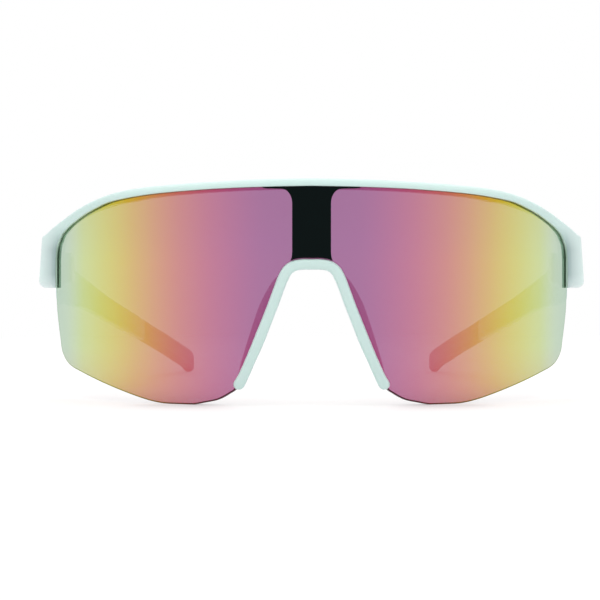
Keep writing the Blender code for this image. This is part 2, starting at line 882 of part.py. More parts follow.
def build():
    """The whole pair of glasses."""
    for old in list(bpy.data.objects):
        bpy.data.objects.remove(old)
    looks = {
        "mint": material("mint_plastic", (0.66, 0.80, 0.77), 0.32),
        "lens": material("mirror_lens", (0.62, 0.35, 0.42), 0.06, 0.6, 0.85),
        "black": material("black_trim", (0.012, 0.016, 0.016), 0.16),
        "pad": material("pad_rubber", (0.16, 0.26, 0.24), 0.6),
        "rubber": material("sleeve_rubber", (0.30, 0.36, 0.35), 0.65),
        "steel": material("hinge_steel", (0.62, 0.61, 0.58), 0.3, 1.0),
    }
    pocket = lens(looks)
    frame = front_frame(looks, pocket)
    nose_bridge(looks, pocket)
    bridge_strip(looks)
    for side in (1, -1):
        nose_pad(side, looks)
        pivot = HingeFrame(side).axis()
        arm = temple(side, looks, pivot)
        hinge(side, looks, frame, arm)


build()
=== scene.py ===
import math

import bmesh
import bpy
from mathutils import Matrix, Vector


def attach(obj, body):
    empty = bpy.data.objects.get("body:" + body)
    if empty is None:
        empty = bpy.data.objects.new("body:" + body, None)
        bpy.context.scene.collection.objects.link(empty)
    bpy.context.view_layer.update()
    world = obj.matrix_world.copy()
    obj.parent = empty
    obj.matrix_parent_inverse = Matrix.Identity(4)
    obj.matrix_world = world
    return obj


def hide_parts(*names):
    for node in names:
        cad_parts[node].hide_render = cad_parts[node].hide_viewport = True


# Cycling sunglasses, dressed. They stand open on a white table, face -Y, and +X is the wearer's left.
# A place on the front is (arc, height, lift): arc along the lens's front face from the middle, lift out to the front.
# An outline is a table of shares: the first number is a share of a length, the second a share of a height.

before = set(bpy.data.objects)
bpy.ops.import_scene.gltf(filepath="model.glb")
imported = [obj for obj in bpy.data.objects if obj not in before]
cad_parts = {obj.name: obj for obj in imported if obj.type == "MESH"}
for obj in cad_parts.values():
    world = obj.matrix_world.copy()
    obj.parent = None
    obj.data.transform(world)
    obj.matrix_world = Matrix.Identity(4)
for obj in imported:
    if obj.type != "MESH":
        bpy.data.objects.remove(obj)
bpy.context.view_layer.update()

mm = 0.001

# Lens
fit_gap = 0.3 * mm
lens_radius = 82.0 * mm
lens_half_arc = 77.6 * mm
lens_height = 53.2 * mm
lens_thickness = 2.0 * mm
lens_edge = 0.38 * mm
lens_top_shares = (
    (0.0, 1.0), (0.35, 0.989), (0.525, 0.976), (0.626, 0.965), (0.691, 0.952), (0.748, 0.93), (0.811, 0.899),
    (0.853, 0.87), (0.895, 0.844), (0.929, 0.816), (0.955, 0.788), (0.975, 0.754), (0.991, 0.712),
    (0.999, 0.669), (1.0, 0.63),
)
lens_floor_shares = (
    (0.238, 0.072), (0.257, 0.053), (0.277, 0.036), (0.298, 0.023), (0.336, 0.011), (0.38, 0.0), (0.465, 0.0),
    (0.507, 0.0045), (0.553, 0.0165), (0.651, 0.052), (0.76, 0.095), (0.855, 0.134), (0.889, 0.148),
    (0.922, 0.169), (0.944, 0.195), (0.961, 0.227), (0.9725, 0.288), (0.9925, 0.406), (0.998, 0.464),
    (1.0, 0.524),
)

# Nose piece and pads
nose_spread = 17.4 * mm
nose_height = 33.8 * mm
nose_width = 2.7 * mm
nose_back = 1.7 * mm
nose_draft = 0.25 * mm
nose_front_round = 0.7 * mm
nose_back_round = 0.5 * mm
nose_outside = (
    (0.157, 0.25 * mm), (0.2, 0.0), (0.3, -0.1 * mm), (0.4, -0.12 * mm), (0.55, -0.05 * mm), (0.7, 0.03 * mm),
    (0.83, 0.15 * mm), (0.92, 0.25 * mm), (1.0, 0.25 * mm),
)
nose_inside = (
    (0.157, 0.0), (0.26, 0.08 * mm), (0.33, 0.1 * mm), (0.4, 0.2 * mm), (0.47, 0.22 * mm), (0.543, 0.13 * mm),
    (0.685, 0.0), (0.755, -0.04 * mm), (0.826, -0.15 * mm), (0.9, -0.2 * mm), (1.0, -0.21 * mm),
)
nose_line_shares = (
    (0.0, 1.0), (0.138, 0.999), (0.247, 0.987), (0.328, 0.956), (0.385, 0.905), (0.437, 0.843), (0.563, 0.683),
    (0.759, 0.444), (0.902, 0.272), (1.0, 0.157),
)
pad_thickness = 2.4 * mm
pad_depth = 8.5 * mm
pad_flare = 2.3 * mm
pad_reach_shares = (0.93, 0.17)
pad_depth_shares = (
    (0.0, 0.35), (0.07, 0.63), (0.17, 0.82), (0.33, 1.0), (0.53, 0.85), (0.67, 0.68), (0.85, 0.45), (1.0, 0.3),
)

# Brow bar and endpieces
frame_proud = 1.25 * mm
rear_lip = 2.2 * mm
top_tuck = 0.5 * mm
side_tuck = 1.18 * mm
lip_drop = 0.5 * mm
lip_round = 0.25 * mm
side_lip_wide = 1.7 * mm
side_lip_deep = 0.5 * mm
lip_turn_arc = 48.0 * mm
lip_turn_run = 24.0 * mm
bar_height = 1.9 * mm
bar_crest = 2.4 * mm
bar_rise = 3.0 * mm
bar_back_round = 1.0 * mm
end_rise = 0.8 * mm
end_crest = 0.6 * mm
roll_arc = 30.0 * mm
roll_run = 40.0 * mm
thin_back_arc = 60.0 * mm
thin_back_run = 15.0 * mm
endpiece_height = 10.0 * mm
endpiece_corner = 4.2 * mm
endpiece_reach = 7.1 * mm
endpiece_run = 6.7 * mm
endpiece_lean = 0.75 * mm
endpiece_round = 1.8 * mm
end_round = 0.25 * mm
joint_thickness = 3.9 * mm
joint_angle = math.radians(8.0)
brow_edge_shares = (
    (0.0, 0.9988), (0.195, 0.9941), (0.361, 0.9861), (0.541, 0.9712), (0.643, 0.9555), (0.709, 0.9407),
    (0.765, 0.9174), (0.826, 0.8882), (0.869, 0.863), (0.909, 0.8384), (0.939, 0.8155), (0.961, 0.796),
    (0.977, 0.7694), (0.991, 0.7434), (0.997, 0.7084), (1.0, 0.6744),
)
frame_top_shares = (
    (0.0, 1.0), (0.129, 0.997), (0.288, 0.988), (0.445, 0.975), (0.523, 0.962), (0.565, 0.95), (0.61, 0.932),
    (0.658, 0.908), (0.712, 0.876), (0.77, 0.838), (0.842, 0.797), (0.885, 0.779), (0.93, 0.764), (1.0, 0.702),
)

# Middle trim
strip_thickness = 0.65 * mm
strip_half_width = 4.6 * mm
strip_wing = 11.6 * mm
strip_wing_depth = 0.66 * mm
strip_wing_end = 0.3 * mm
strip_fillet_wide = 2.6 * mm
strip_fillet_tall = 3.5 * mm
strip_foot = 0.42 * mm
strip_foot_height = 2.0 * mm
strip_cuts = 1.06 * mm
strip_edge = 0.15 * mm
strip_foot_waist_shares = (0.3, 0.4)

# Arms
temple_reach = 111.2 * mm
tip_half_spread = 40.0 * mm
temple_round = 0.95 * mm
sleeve_extra = 0.35 * mm
sleeve_start = 0.1 * mm
sleeve_swell = 6.0 * mm
sleeve_round = 1.5 * mm
sleeve_share = 0.6
temple_plan_shares = (
    (0.0, 1.0), (0.05, 0.971), (0.11, 0.935), (0.237, 0.862), (0.372, 0.735), (0.498, 0.577), (0.624, 0.407),
    (0.741, 0.252), (0.849, 0.134), (0.93, 0.054), (1.0, 0.0),
)
temple_top_shares = (
    (0.0, 1.0), (0.02, 0.979), (0.09, 0.912), (0.139, 0.857), (0.217, 0.807), (0.295, 0.748), (0.38, 0.675),
    (0.458, 0.609), (0.567, 0.516), (0.672, 0.421), (0.757, 0.355), (0.85, 0.283), (0.93, 0.224), (0.975, 0.19),
    (0.99, 0.165), (1.0, 0.14),
)
temple_floor_shares = (
    (0.056, 0.735), (0.06, 0.64), (0.067, 0.622), (0.08, 0.614), (0.11, 0.607), (0.167, 0.597), (0.236, 0.577),
    (0.353, 0.505), (0.51, 0.385), (0.612, 0.303), (0.718, 0.214), (0.814, 0.138), (0.884, 0.083), (0.92, 0.058),
    (0.945, 0.036), (0.97, 0.01), (0.982, 0.0), (0.992, 0.0), (1.0, 0.03),
)
temple_thickness_shares = ((0.0, 1.0), (0.05, 0.95), (0.12, 0.82), (0.25, 0.72), (0.6, 0.68), (1.0, 0.7))

# How finely the surfaces are cut
strip_arc = 1.0 * mm
ring_arc = 0.8 * mm
cut_snap = 0.02 * mm
curve_parts = 8
round_parts = 5
temple_rings = 150
smooth_limit = math.radians(32)

# Sizes that follow
brow_edge_arc = lens_half_arc - side_tuck
brow_edge_height = lens_height - top_tuck
frame_height = brow_edge_height + bar_height
endpiece_top = frame_top_shares[-1][1] * frame_height
endpiece_floor = endpiece_top - endpiece_height
frame_back = lens_thickness + fit_gap + rear_lip
joint_back = joint_thickness - frame_proud
endpiece_start = lens_half_arc + endpiece_reach
corner_angle = endpiece_start / lens_radius
corner_turn = math.pi / 2 + joint_angle - corner_angle
corner_arc = corner_turn * endpiece_corner
frame_arc = endpiece_start + corner_arc + endpiece_run
corner_centre = Vector((
    (lens_radius - endpiece_corner) * math.sin(corner_angle),
    lens_radius - (lens_radius - endpiece_corner) * math.cos(corner_angle),
))


# The line round the glasses, and curves

def rail(arc, lift):
    """(x, depth behind the lens's front, direction out of the line as an angle) of a place in front of the line."""
    run = abs(arc)
    if run <= endpiece_start:
        angle = run / lens_radius
        reach = lens_radius + lift
        x, depth = reach * math.sin(angle), lens_radius - reach * math.cos(angle)
    else:
        angle = corner_angle + min(run - endpiece_start, corner_arc) / endpiece_corner
        reach = endpiece_corner + lift
        beyond = max(run - endpiece_start - corner_arc, 0)
        x = corner_centre.x + reach * math.sin(angle) + beyond * math.cos(angle)
        depth = corner_centre.y - reach * math.cos(angle) + beyond * math.sin(angle)
    return math.copysign(x, arc), depth, math.copysign(angle, arc)


joint_x, joint_depth, _ = rail(frame_arc + fit_gap, -joint_back)
overall_depth = frame_proud + joint_depth + temple_reach
front_y = frame_proud - overall_depth / 2


def place(arc, height, lift):
    """A place on the front in the object's own frame."""
    x, depth, _ = rail(arc, lift)
    return Vector((x, front_y + depth, height))


def straight_back(arc, height, lift):
    """A place as far in front of or behind the lens's front face, measured straight along Y."""
    return place(arc, height, 0) - Vector((0, lift, 0))


def outward(arc):
    """The direction out of the line, to the front."""
    angle = rail(arc, 0)[2]
    return Vector((math.sin(angle), -math.cos(angle), 0))


def ease(t):
    """0 to 1, smooth at both ends."""
    t = min(max(t, 0), 1)
    return t * t * (3 - 2 * t)


def follow(shares, at):
    """The value at one place of a smooth curve through the shares, which never swings past them."""
    if at <= shares[0][0]:
        return shares[0][1]
    if at >= shares[-1][0]:
        return shares[-1][1]
    steps = [b[0] - a[0] for a, b in zip(shares, shares[1:])]
    slopes = [(b[1] - a[1]) / step for a, b, step in zip(shares, shares[1:], steps)]
    here = next(i for i, step in enumerate(steps) if at <= shares[i + 1][0])

    def tangent(i):
        if i == 0 or i == len(slopes):
            return slopes[min(i, len(slopes) - 1)]
        before, after = slopes[i - 1], slopes[i]
        if before * after <= 0:
            return 0.0
        first, second = 2 * steps[i] + steps[i - 1], steps[i] + 2 * steps[i - 1]
        return (first + second) / (first / before + second / after)

    step = steps[here]
    t = (at - shares[here][0]) / step
    start, end = shares[here][1], shares[here + 1][1]
    return (
        start + (end - start) * t * t * (3 - 2 * t)
        + step * tangent(here) * t * (1 - t) ** 2
        - step * tangent(here + 1) * t * t * (1 - t)
    )


def curve(points, parts=curve_parts):
    """A smooth line through the points, as many parts to each stretch, which doesn't overshoot where they crowd."""
    points = [Vector(p) for p in points]
    ends = [2 * points[0] - points[1]] + points + [2 * points[-1] - points[-2]]
    line = []
    for a, b, c, d in zip(ends, ends[1:], ends[2:], ends[3:]):
        knots = [0.0]
        for p, q in ((a, b), (b, c), (c, d)):
            knots.append(knots[-1] + math.sqrt((q - p).length))
        t0, t1, t2, t3 = knots
        for part in range(parts):
            t = t1 + (t2 - t1) * part / parts
            ab = a * ((t1 - t) / (t1 - t0)) + b * ((t - t0) / (t1 - t0))
            bc = b * ((t2 - t) / (t2 - t1)) + c * ((t - t1) / (t2 - t1))
            cd = c * ((t3 - t) / (t3 - t2)) + d * ((t - t2) / (t3 - t2))
            first = ab * ((t2 - t) / (t2 - t0)) + bc * ((t - t0) / (t2 - t0))
            second = bc * ((t3 - t) / (t3 - t1)) + cd * ((t - t1) / (t3 - t1))
            line.append(first * ((t2 - t) / (t2 - t1)) + second * ((t - t1) / (t2 - t1)))
    return line + [points[-1]]


def sized(shares, length, height):
    """A table of shares as places."""
    return [(share * length, tall * height) for share, tall in shares]


def mirrored(points):
    """A half outline that starts in the middle, as a whole one from the -X side to the +X side."""
    return [Vector((-p[0], p[1])) for p in reversed(points)] + [Vector(p) for p in points[1:]]


def offset(outline, gap):
    """The closed outline moved out by gap on all sides, square to its edges."""
    area = sum(a[0] * b[1] - b[0] * a[1] for a, b in zip(outline, outline[1:] + outline[:1]))
    turn = math.copysign(1, area)
    out = []
    for before, here, after in zip(outline[-1:] + outline[:-1], outline, outline[1:] + outline[:1]):
        first, second = (here - before).normalized(), (after - here).normalized()
        normal = (Vector((first.y, -first.x)) + Vector((second.y, -second.x))) * turn
        normal.normalize()
        mitre = max(normal.dot(Vector((second.y, -second.x)) * turn), 0.6)
        out.append((here + normal * (gap / mitre), normal))
    return out


def rounded(radius, way):
    """(lift, inset, tilt) steps of an edge's round, from the side wall to the face (way 1) or back (way -1)."""
    steps = []
    for step in range(round_parts + 1):
        a = math.pi / 2 * step / round_parts
        steps.append((-way * radius * (1 - math.sin(a)), radius * (1 - math.cos(a)), a))
    return steps if way > 0 else steps[::-1]


def edge_levels(low, high, back_round, front_round):
    """The levels of a plate between two lifts, with rounded edges."""
    back = [(low + lift, inset, -tilt) for lift, inset, tilt in rounded(back_round, -1)]
    front = [(high + lift, inset, tilt) for lift, inset, tilt in rounded(front_round, 1)]
    return back + front


# Making meshes

def piece(name, data, looks, sharp=True):
    """A new object from a bmesh."""
    bmesh.ops.recalc_face_normals(data, faces=data.faces)
    mesh = bpy.data.meshes.new(name)
    data.to_mesh(mesh)
    data.free()
    mesh.shade_smooth()
    if sharp:
        mesh.set_sharp_from_angle(angle=smooth_limit)
    for look in looks:
        mesh.materials.append(look)
    made = bpy.data.objects.new(name, mesh)
    bpy.context.scene.collection.objects.link(made)
    return made


def plate(name, outline, levels, looks=(), slots=(0, 0, 0), apart=strip_arc):
    """A plate bent round the lens's cylinder, from its outline at a run of levels, back to front.

    Levels are (lift, inset, tilt), or a function that gives them for a place on the outline. Slots are those of the
    front face, the back face and the edge, or for the edge one to each step between levels.
    """
    flat = bmesh.new()
    flat.faces.new([flat.verts.new((p[0], 0, p[1])) for p in outline])
    reach = math.ceil(max(abs(p[0]) for p in outline) / apart)
    for cut in range(-reach, reach + 1):
        bmesh.ops.bisect_plane(
            flat,
            geom=flat.verts[:] + flat.edges[:] + flat.faces[:],
            dist=cut_snap,
            plane_co=((cut + 0.5) * apart, 0, 0),
            plane_no=(1, 0, 0),
        )
    follows = {}
    for face in flat.faces:
        for corner in face.loops:
            if corner.edge.is_boundary:
                follows[corner.vert] = corner.link_loop_next.vert
    order = [next(iter(follows))]
    while len(order) < len(follows):
        order.append(follows[order[-1]])
    number = {vert: i for i, vert in enumerate(order)}
    edge = [Vector((vert.co.x, vert.co.z)) for vert in order]
    faces = [[number[vert] for vert in face.verts] for face in flat.faces]
    flat.free()

    sides = offset(edge, 1)
    runs = [levels(spot) if callable(levels) else levels for spot in edge]
    steps = len(runs[0])
    data = bmesh.new()
    rings, normals = [], []
    for step in range(steps):
        ring = []
        for spot, (moved, out), run in zip(edge, sides, runs):
            lift, inset, tilt = run[step]
            at = spot - (moved - spot) * inset
            ring.append(data.verts.new(place(at.x, at.y, lift)))
            turn = rail(spot.x, 0)[2]
            side = Vector((math.cos(turn) * out.x, math.sin(turn) * out.x, out.y))
            normals.append(outward(spot.x) * math.sin(tilt) + side * math.cos(tilt))
        rings.append(ring)
    for face in faces:
        data.faces.new([rings[-1][i] for i in face]).material_index = slots[0]
        data.faces.new([rings[0][i] for i in reversed(face)]).material_index = slots[1]
    count = len(edge)
    for step in range(steps - 1):
        first, second = rings[step], rings[step + 1]
        slot = slots[2][step] if isinstance(slots[2], list) else slots[2]
        for i in range(count):
            j = (i + 1) % count
            data.faces.new((first[j], first[i], second[i], second[j])).material_index = slot
    made = piece(name, data, looks, sharp=False)
    made.data.normals_split_custom_set_from_vertices([normal.normalized() for normal in normals])
    return made


def loft(name, rings, looks, caps=True):
    """A closed tube through the rings."""
    data = bmesh.new()
    loops = [[data.verts.new(point) for point in ring] for ring in rings]
    for first, second in zip(loops, loops[1:]):
        for i in range(len(first)):
            j = (i + 1) % len(first)
            data.faces.new((first[i], first[j], second[j], second[i]))
    if caps:
        data.faces.new(loops[0])
        data.faces.new(reversed(loops[-1]))
    bmesh.ops.remove_doubles(data, verts=data.verts, dist=cut_snap / 10)
    return piece(name, data, looks)


def clean(mesh):
    """Takes out the slivers and folded flaps that a cut can leave."""
    data = bmesh.new()
    data.from_mesh(mesh)
    bmesh.ops.dissolve_degenerate(data, dist=cut_snap / 4, edges=data.edges)
    bmesh.ops.triangulate(data, faces=[f for f in data.faces if len(f.verts) > 4], ngon_method="EAR_CLIP")
    twins = {}
    for face in data.faces:
        twins.setdefault(frozenset(face.verts), []).append(face)
    flaps = [face for same in twins.values() if len(same) > 1 for face in same]
    bmesh.ops.delete(data, geom=flaps, context="FACES")
    data.to_mesh(mesh)
    data.free()


def cut(target, *tools):
    """Cuts the tools out of the piece for good, then evens its shading."""
    for tool in tools:
        modifier = target.modifiers.new(tool.name, "BOOLEAN")
        modifier.operation = "DIFFERENCE"
        modifier.solver = "EXACT"
        modifier.object = tool
    graph = bpy.context.evaluated_depsgraph_get()
    mesh = bpy.data.meshes.new_from_object(target.evaluated_get(graph))
    target.modifiers.clear()
    target.data = mesh
    clean(mesh)
    mesh.shade_smooth()
    mesh.set_sharp_from_angle(angle=smooth_limit)
    even = target.modifiers.new("even", "WEIGHTED_NORMAL")
    even.keep_sharp = True


def corner_round(centre, radius, tall, start):
    """Points round one corner of a section, from one quarter turn to the next."""
    points = []
    for step in range(round_parts + 1):
        a = math.pi / 2 * (start + step / round_parts)
        points.append((centre[0] + radius * math.cos(a), centre[1] + tall * math.sin(a)))
    return points


# Materials

class Look:
    """A node material, built up node by node."""

    def __init__(self, name):
        self.made = bpy.data.materials.new(name)
        self.made.use_nodes = True
        self.tree = self.made.node_tree
        self.shader = self.tree.nodes["Principled BSDF"]
        self.output = self.tree.nodes["Material Output"]
        self.where = self.add("ShaderNodeTexCoord").outputs["Object"]

    def add(self, kind, **inputs):
        node = self.tree.nodes.new(kind)
        for name, value in inputs.items():
            self.put(node, name.replace("_", " "), value)
        return node

    def put(self, node, socket, value):
        target = node.inputs[socket]
        if isinstance(value, bpy.types.NodeSocket):
            self.tree.links.new(value, target)
        else:
            target.default_value = value

    def set(self, **inputs):
        for name, value in inputs.items():
            self.put(self.shader, name.replace("_", " "), value)

    def base(self):
        """What the shader's colour comes from so far."""
        return self.shader.inputs["Base Color"].links[0].from_socket

    def noise(self, size, detail=3.0, stretch=(1, 1, 1)):
        """A noise pattern whose grain is about one size across."""
        mapping = self.add("ShaderNodeMapping", Vector=self.where, Scale=stretch)
        return self.add("ShaderNodeTexNoise", Vector=mapping.outputs[0], Scale=1 / size, Detail=detail).outputs["Fac"]

    def span(self, value, low, high, start=0.0, end=1.0):
        """A value in one range as one in another."""
        node = self.add("ShaderNodeMapRange", Value=value)
        for socket, number in (("From Min", start), ("From Max", end), ("To Min", low), ("To Max", high)):
            node.inputs[socket].default_value = number
        return node.outputs[0]

    def blend(self, share, first, second):
        """A colour between two colours."""
        node = self.add("ShaderNodeMix")
        node.data_type = "RGBA"
        for socket, value in zip((0, 6, 7), (share, first, second)):
            target = node.inputs[socket]
            if isinstance(value, bpy.types.NodeSocket):
                self.tree.links.new(value, target)
            else:
                target.default_value = value if socket == 0 else (*value, 1.0)
        return node.outputs[2]

    def bump(self, height, deep, strength=1.0):
        """Bumps of a real depth."""
        node = self.add("ShaderNodeBump", Height=height)
        node.inputs["Distance"].default_value = deep
        node.inputs["Strength"].default_value = strength
        self.put(self.shader, "Normal", node.outputs[0])

    def reckon(self, operation, first, second=None):
        """One step of arithmetic on values or sockets."""
        node = self.add("ShaderNodeMath")
        node.operation = operation
        for socket, value in zip(node.inputs, (first, second)):
            if isinstance(value, bpy.types.NodeSocket):
                self.tree.links.new(value, socket)
            elif value is not None:
                socket.default_value = value
        return node.outputs[0]

    def ramp(self, value, stops):
        """A colour from a row of stops."""
        node = self.add("ShaderNodeValToRGB", Fac=value)
        row = node.color_ramp
        row.interpolation = "B_SPLINE"
        for i, (at, colour) in enumerate(stops):
            stop = row.elements[i] if i < 2 else row.elements.new(at)
            stop.position = at
            stop.color = (*colour, 1.0)
        return node.outputs[0]


mint_colour = (0.655, 0.84, 0.80)
coat_clear = 0.36
inside_clear = 0.5
# Painted shade near each endpiece's lip, and a painted dark line along it
lip_shade_wide = 6.2 * mm
lip_shade_power = 1.3
lip_shade_line = (0.55 * mm, 0.8 * mm)
lip_shade_line_fade = (7 * mm, 2 * mm)
lip_shade_line_dark = 0.2
# Painted light at each endpiece's foot: its share, and how tall it reaches
foot_painted_light = 0.45
foot_painted_light_tall = 3.5 * mm
# Whiter mint painted in: a sheen where the plastic is seen at a slant, and light near each endpiece's foot
painted_light_mint = (0.89, 1.0, 1.0)
lip_painted_shade = (0.30, 0.405, 0.405)
# Painted shade on the arms' faces towards the head: where it grows along Y, its depth as shares of the mint, and how
# far a face must turn inwards
arm_shade_run = (-26 * mm, -6 * mm)
arm_painted_shade = (0.72, 0.68, 0.65)
arm_shade_facing = (-0.9, -0.2)
# Painted shade on the lip's inner wall: in the middle, towards the sides and past the lip's side, where it changes,
# and how wide the last step is
wall_shade_colour = (0.62, 0.72, 0.50)
wall_side_shade_colour = (0.72, 0.92, 0.82)
wall_edge_shade_colour = (0.47, 0.63, 0.54)
wall_run = (50 * mm, 64 * mm)
wall_edge_wide = 0.25 * mm


def plastic(name, colour, roughness=0.3):
    """Satin moulded plastic with a fine grain."""
    look = Look(name)
    patches = look.span(look.noise(9 * mm), 0.35, 0.65)
    darker = tuple(c * 0.97 for c in colour)
    look.set(Base_Color=look.blend(patches, colour, darker))
    look.set(Roughness=look.span(look.noise(1.2 * mm), roughness - 0.05, roughness + 0.06))
    look.bump(look.noise(0.12 * mm, 2.0), 0.004 * mm, 0.6)
    return look


def mint(name):
    """The mint plastic, a little translucent, with a pale sheen painted into its colour where it is seen at a slant.
    """
    look = plastic(name, mint_colour)
    look.set(Subsurface_Weight=0.08, Subsurface_Radius=(0.4, 0.6, 0.5), Subsurface_Scale=0.6 * mm)
    # Painted sheen: the colour turns whiter where the surface is seen at a slant
    slant = look.span(look.add("ShaderNodeLayerWeight").outputs["Facing"], 0.0, 0.6, 0.38, 1.0)
    look.set(Base_Color=look.blend(slant, look.base(), painted_light_mint))
    return look


def arm_mint():
    """The arms' plastic, with shade painted onto the side towards the head, deeper towards the sleeve."""
    look = mint("arm_mint")
    coords = look.where.node
    place_in = look.add("ShaderNodeSeparateXYZ", Vector=look.where)
    facing = look.add("ShaderNodeSeparateXYZ", Vector=coords.outputs["Normal"])
    side = look.reckon("SIGN", place_in.outputs["X"])
    inwards = look.reckon("MULTIPLY", side, facing.outputs["X"])
    inner = look.span(inwards, 1.0, 0.0, *arm_shade_facing)
    back = look.span(place_in.outputs["Y"], 0.0, 1.0, *arm_shade_run)
    # Painted shade: the mint darkened on the inner face
    deep = tuple(c * d for c, d in zip(mint_colour, arm_painted_shade))
    look.set(Base_Color=look.blend(look.reckon("MULTIPLY", inner, back), look.base(), deep))
    return look.made


def front_mint():
    """The frame's plastic, with shade painted in softly towards the lip of each endpiece, a dark line painted along
    it, and light painted near the endpiece's foot.
    """
    look = mint("front_mint")
    parts = look.add("ShaderNodeSeparateXYZ", Vector=look.where)
    aside = look.reckon("ABSOLUTE", parts.outputs["X"])
    lip = rail(brow_edge_arc, 0)[0]
    # Painted shade, deepest at the lip and fading out across the endpiece's front
    near = look.span(aside, 1.0, 0.0, lip, lip + lip_shade_wide)
    above = look.span(parts.outputs["Z"], 1.0, 0.0, endpiece_top, endpiece_top + lip_shade_wide)
    soft = look.reckon("POWER", look.reckon("MULTIPLY", near, above), lip_shade_power)
    shaded = look.blend(soft, look.base(), lip_painted_shade)
    # A painted dark line of shade just outside the lip, down the endpiece's side below its top
    close = look.span(aside, 1.0, 0.0, lip + lip_shade_line[0], lip + lip_shade_line[1])
    fade_low, fade_high = (endpiece_top - drop for drop in lip_shade_line_fade)
    below = look.span(parts.outputs["Z"], 1.0, 0.0, fade_low, fade_high)
    dark = tuple(c * lip_shade_line_dark for c in mint_colour)
    shaded = look.blend(look.reckon("MULTIPLY", close, below), shaded, dark)
    # Painted light: whiter towards the endpiece's foot
    foot = look.span(parts.outputs["Z"], foot_painted_light, 0.0, endpiece_floor, endpiece_floor + foot_painted_light_tall)
    look.set(Base_Color=look.blend(foot, shaded, painted_light_mint))
    return look.made


def lip_wall_shade():
    """The inner wall of the frame's front lip, mint with its shade painted in: darker in the middle, lighter towards
    the sides, darker again past the lip's side.
    """
    look = plastic("lip_wall_shade", wall_shade_colour, 0.4)
    parts = look.add("ShaderNodeSeparateXYZ", Vector=look.where)
    aside = look.reckon("ABSOLUTE", parts.outputs["X"])
    far = look.span(aside, 0.0, 1.0, *wall_run)
    wall = look.blend(far, look.base(), wall_side_shade_colour)
    lip = rail(brow_edge_arc, 0)[0]
    edge = look.span(aside, 0.0, 1.0, lip, lip + wall_edge_wide)
    look.set(Base_Color=look.blend(edge, wall, wall_edge_shade_colour))
    return look.made


# The colours across the lens by their share of the way from the middle to its side, seen from the front
coat_shares = (
    (0.0, (0.448, 0.111, 0.277)),
    (0.17, (0.458, 0.109, 0.300)),
    (0.27, (0.573, 0.105, 0.278)),
    (0.38, (0.718, 0.114, 0.233)),
    (0.49, (0.840, 0.181, 0.153)),
    (0.58, (0.909, 0.345, 0.093)),
    (0.66, (0.933, 0.554, 0.035)),
    (0.73, (0.919, 0.740, 0.045)),
    (0.80, (0.880, 0.883, 0.131)),
    (0.87, (0.822, 0.970, 0.325)),
    (0.905, (0.784, 0.964, 0.486)),
    (0.94, (0.805, 0.995, 0.765)),
    (1.0, (0.729, 0.939, 0.793)),
)
clear_shares = (
    (0.0, (0.556, 0.611, 0.861)),
    (0.2, (0.556, 0.611, 0.861)),
    (0.38, (0.50, 0.778, 0.889)),
    (0.49, (0.483, 0.861, 0.917)),
    (0.58, (0.467, 0.78, 0.956)),
    (0.66, (0.46, 0.66, 0.98)),
    (0.8, (0.472, 0.461, 0.928)),
    (0.905, (0.493, 0.426, 0.712)),
    (0.94, (0.28, 0.26, 0.22)),
    (1.0, (0.30, 0.26, 0.25)),
)
# The coat's colour by its share of the lens's height: darker and pinker at the foot, a painted reflection of the
# table's shade, lighter in the middle and a little darker at the top
coat_height_shading = (
    (0.0, (0.74, 0.50, 0.70)),
    (0.05, (0.92, 0.70, 0.86)),
    (0.10, (0.98, 0.86, 0.94)),
    (0.18, (1.0, 0.95, 0.98)),
    (0.26, (1.0, 1.0, 1.0)),
    (0.50, (1.05, 1.09, 1.20)),
    (0.70, (0.98, 0.98, 1.0)),
    (0.90, (0.94, 0.92, 0.94)),
)
rim_shares = (
    (0.0, (0.07, 0.009, 0.035)),
    (0.3, (0.075, 0.011, 0.024)),
    (0.45, (0.10, 0.014, 0.012)),
    (0.55, (0.22, 0.08, 0.014)),
    (0.68, (0.36, 0.25, 0.014)),
    (0.84, (0.34, 0.38, 0.04)),
    (1.0, (0.28, 0.40, 0.28)),
)


def across(look, shares):
    """A run of colours from the middle of the lens out to both sides."""
    parts = look.add("ShaderNodeSeparateXYZ", Vector=look.where)
    half = rail(lens_half_arc, 0)[0]
    side = look.reckon("ABSOLUTE", parts.outputs["X"])
    return look.ramp(look.span(side, 0.0, 1.0, 0.0, half), shares)


def see_through(look, share, tint):
    """Lets part of the light straight through the look's surface."""
    clear = look.add("ShaderNodeBsdfTransparent", Color=tint)
    both = look.add("ShaderNodeMixShader", Fac=share)
    look.tree.links.new(look.shader.outputs[0], both.inputs[1])
    look.tree.links.new(clear.outputs[0], both.inputs[2])
    look.tree.links.new(both.outputs[0], look.output.inputs["Surface"])


def lens_coat():
    look = Look("lens_coat")
    parts = look.add("ShaderNodeSeparateXYZ", Vector=look.where)
    # Painted shading by height, darkest at the foot
    tint = look.ramp(look.span(parts.outputs["Z"], 0.0, 1.0, 0.0, lens_height), coat_height_shading)
    both = look.add("ShaderNodeVectorMath")
    both.operation = "MULTIPLY"
    look.tree.links.new(across(look, coat_shares), both.inputs[0])
    look.tree.links.new(tint, both.inputs[1])
    look.set(Base_Color=both.outputs[0], Metallic=1.0)
    look.set(Roughness=look.span(look.noise(6 * mm, 4.0), 0.035, 0.06))
    look.bump(look.noise(14 * mm, 1.0), 0.002 * mm, 0.4)
    see_through(look, coat_clear, across(look, clear_shares))
    return look.made


def lens_inside():
    look = Look("lens_inside")
    look.set(Base_Color=(0.035, 0.025, 0.035, 1.0), IOR=1.58)
    look.set(Roughness=look.span(look.noise(5 * mm, 4.0), 0.03, 0.06))
    see_through(look, inside_clear, (1.0, 1.0, 1.0, 1.0))
    return look.made


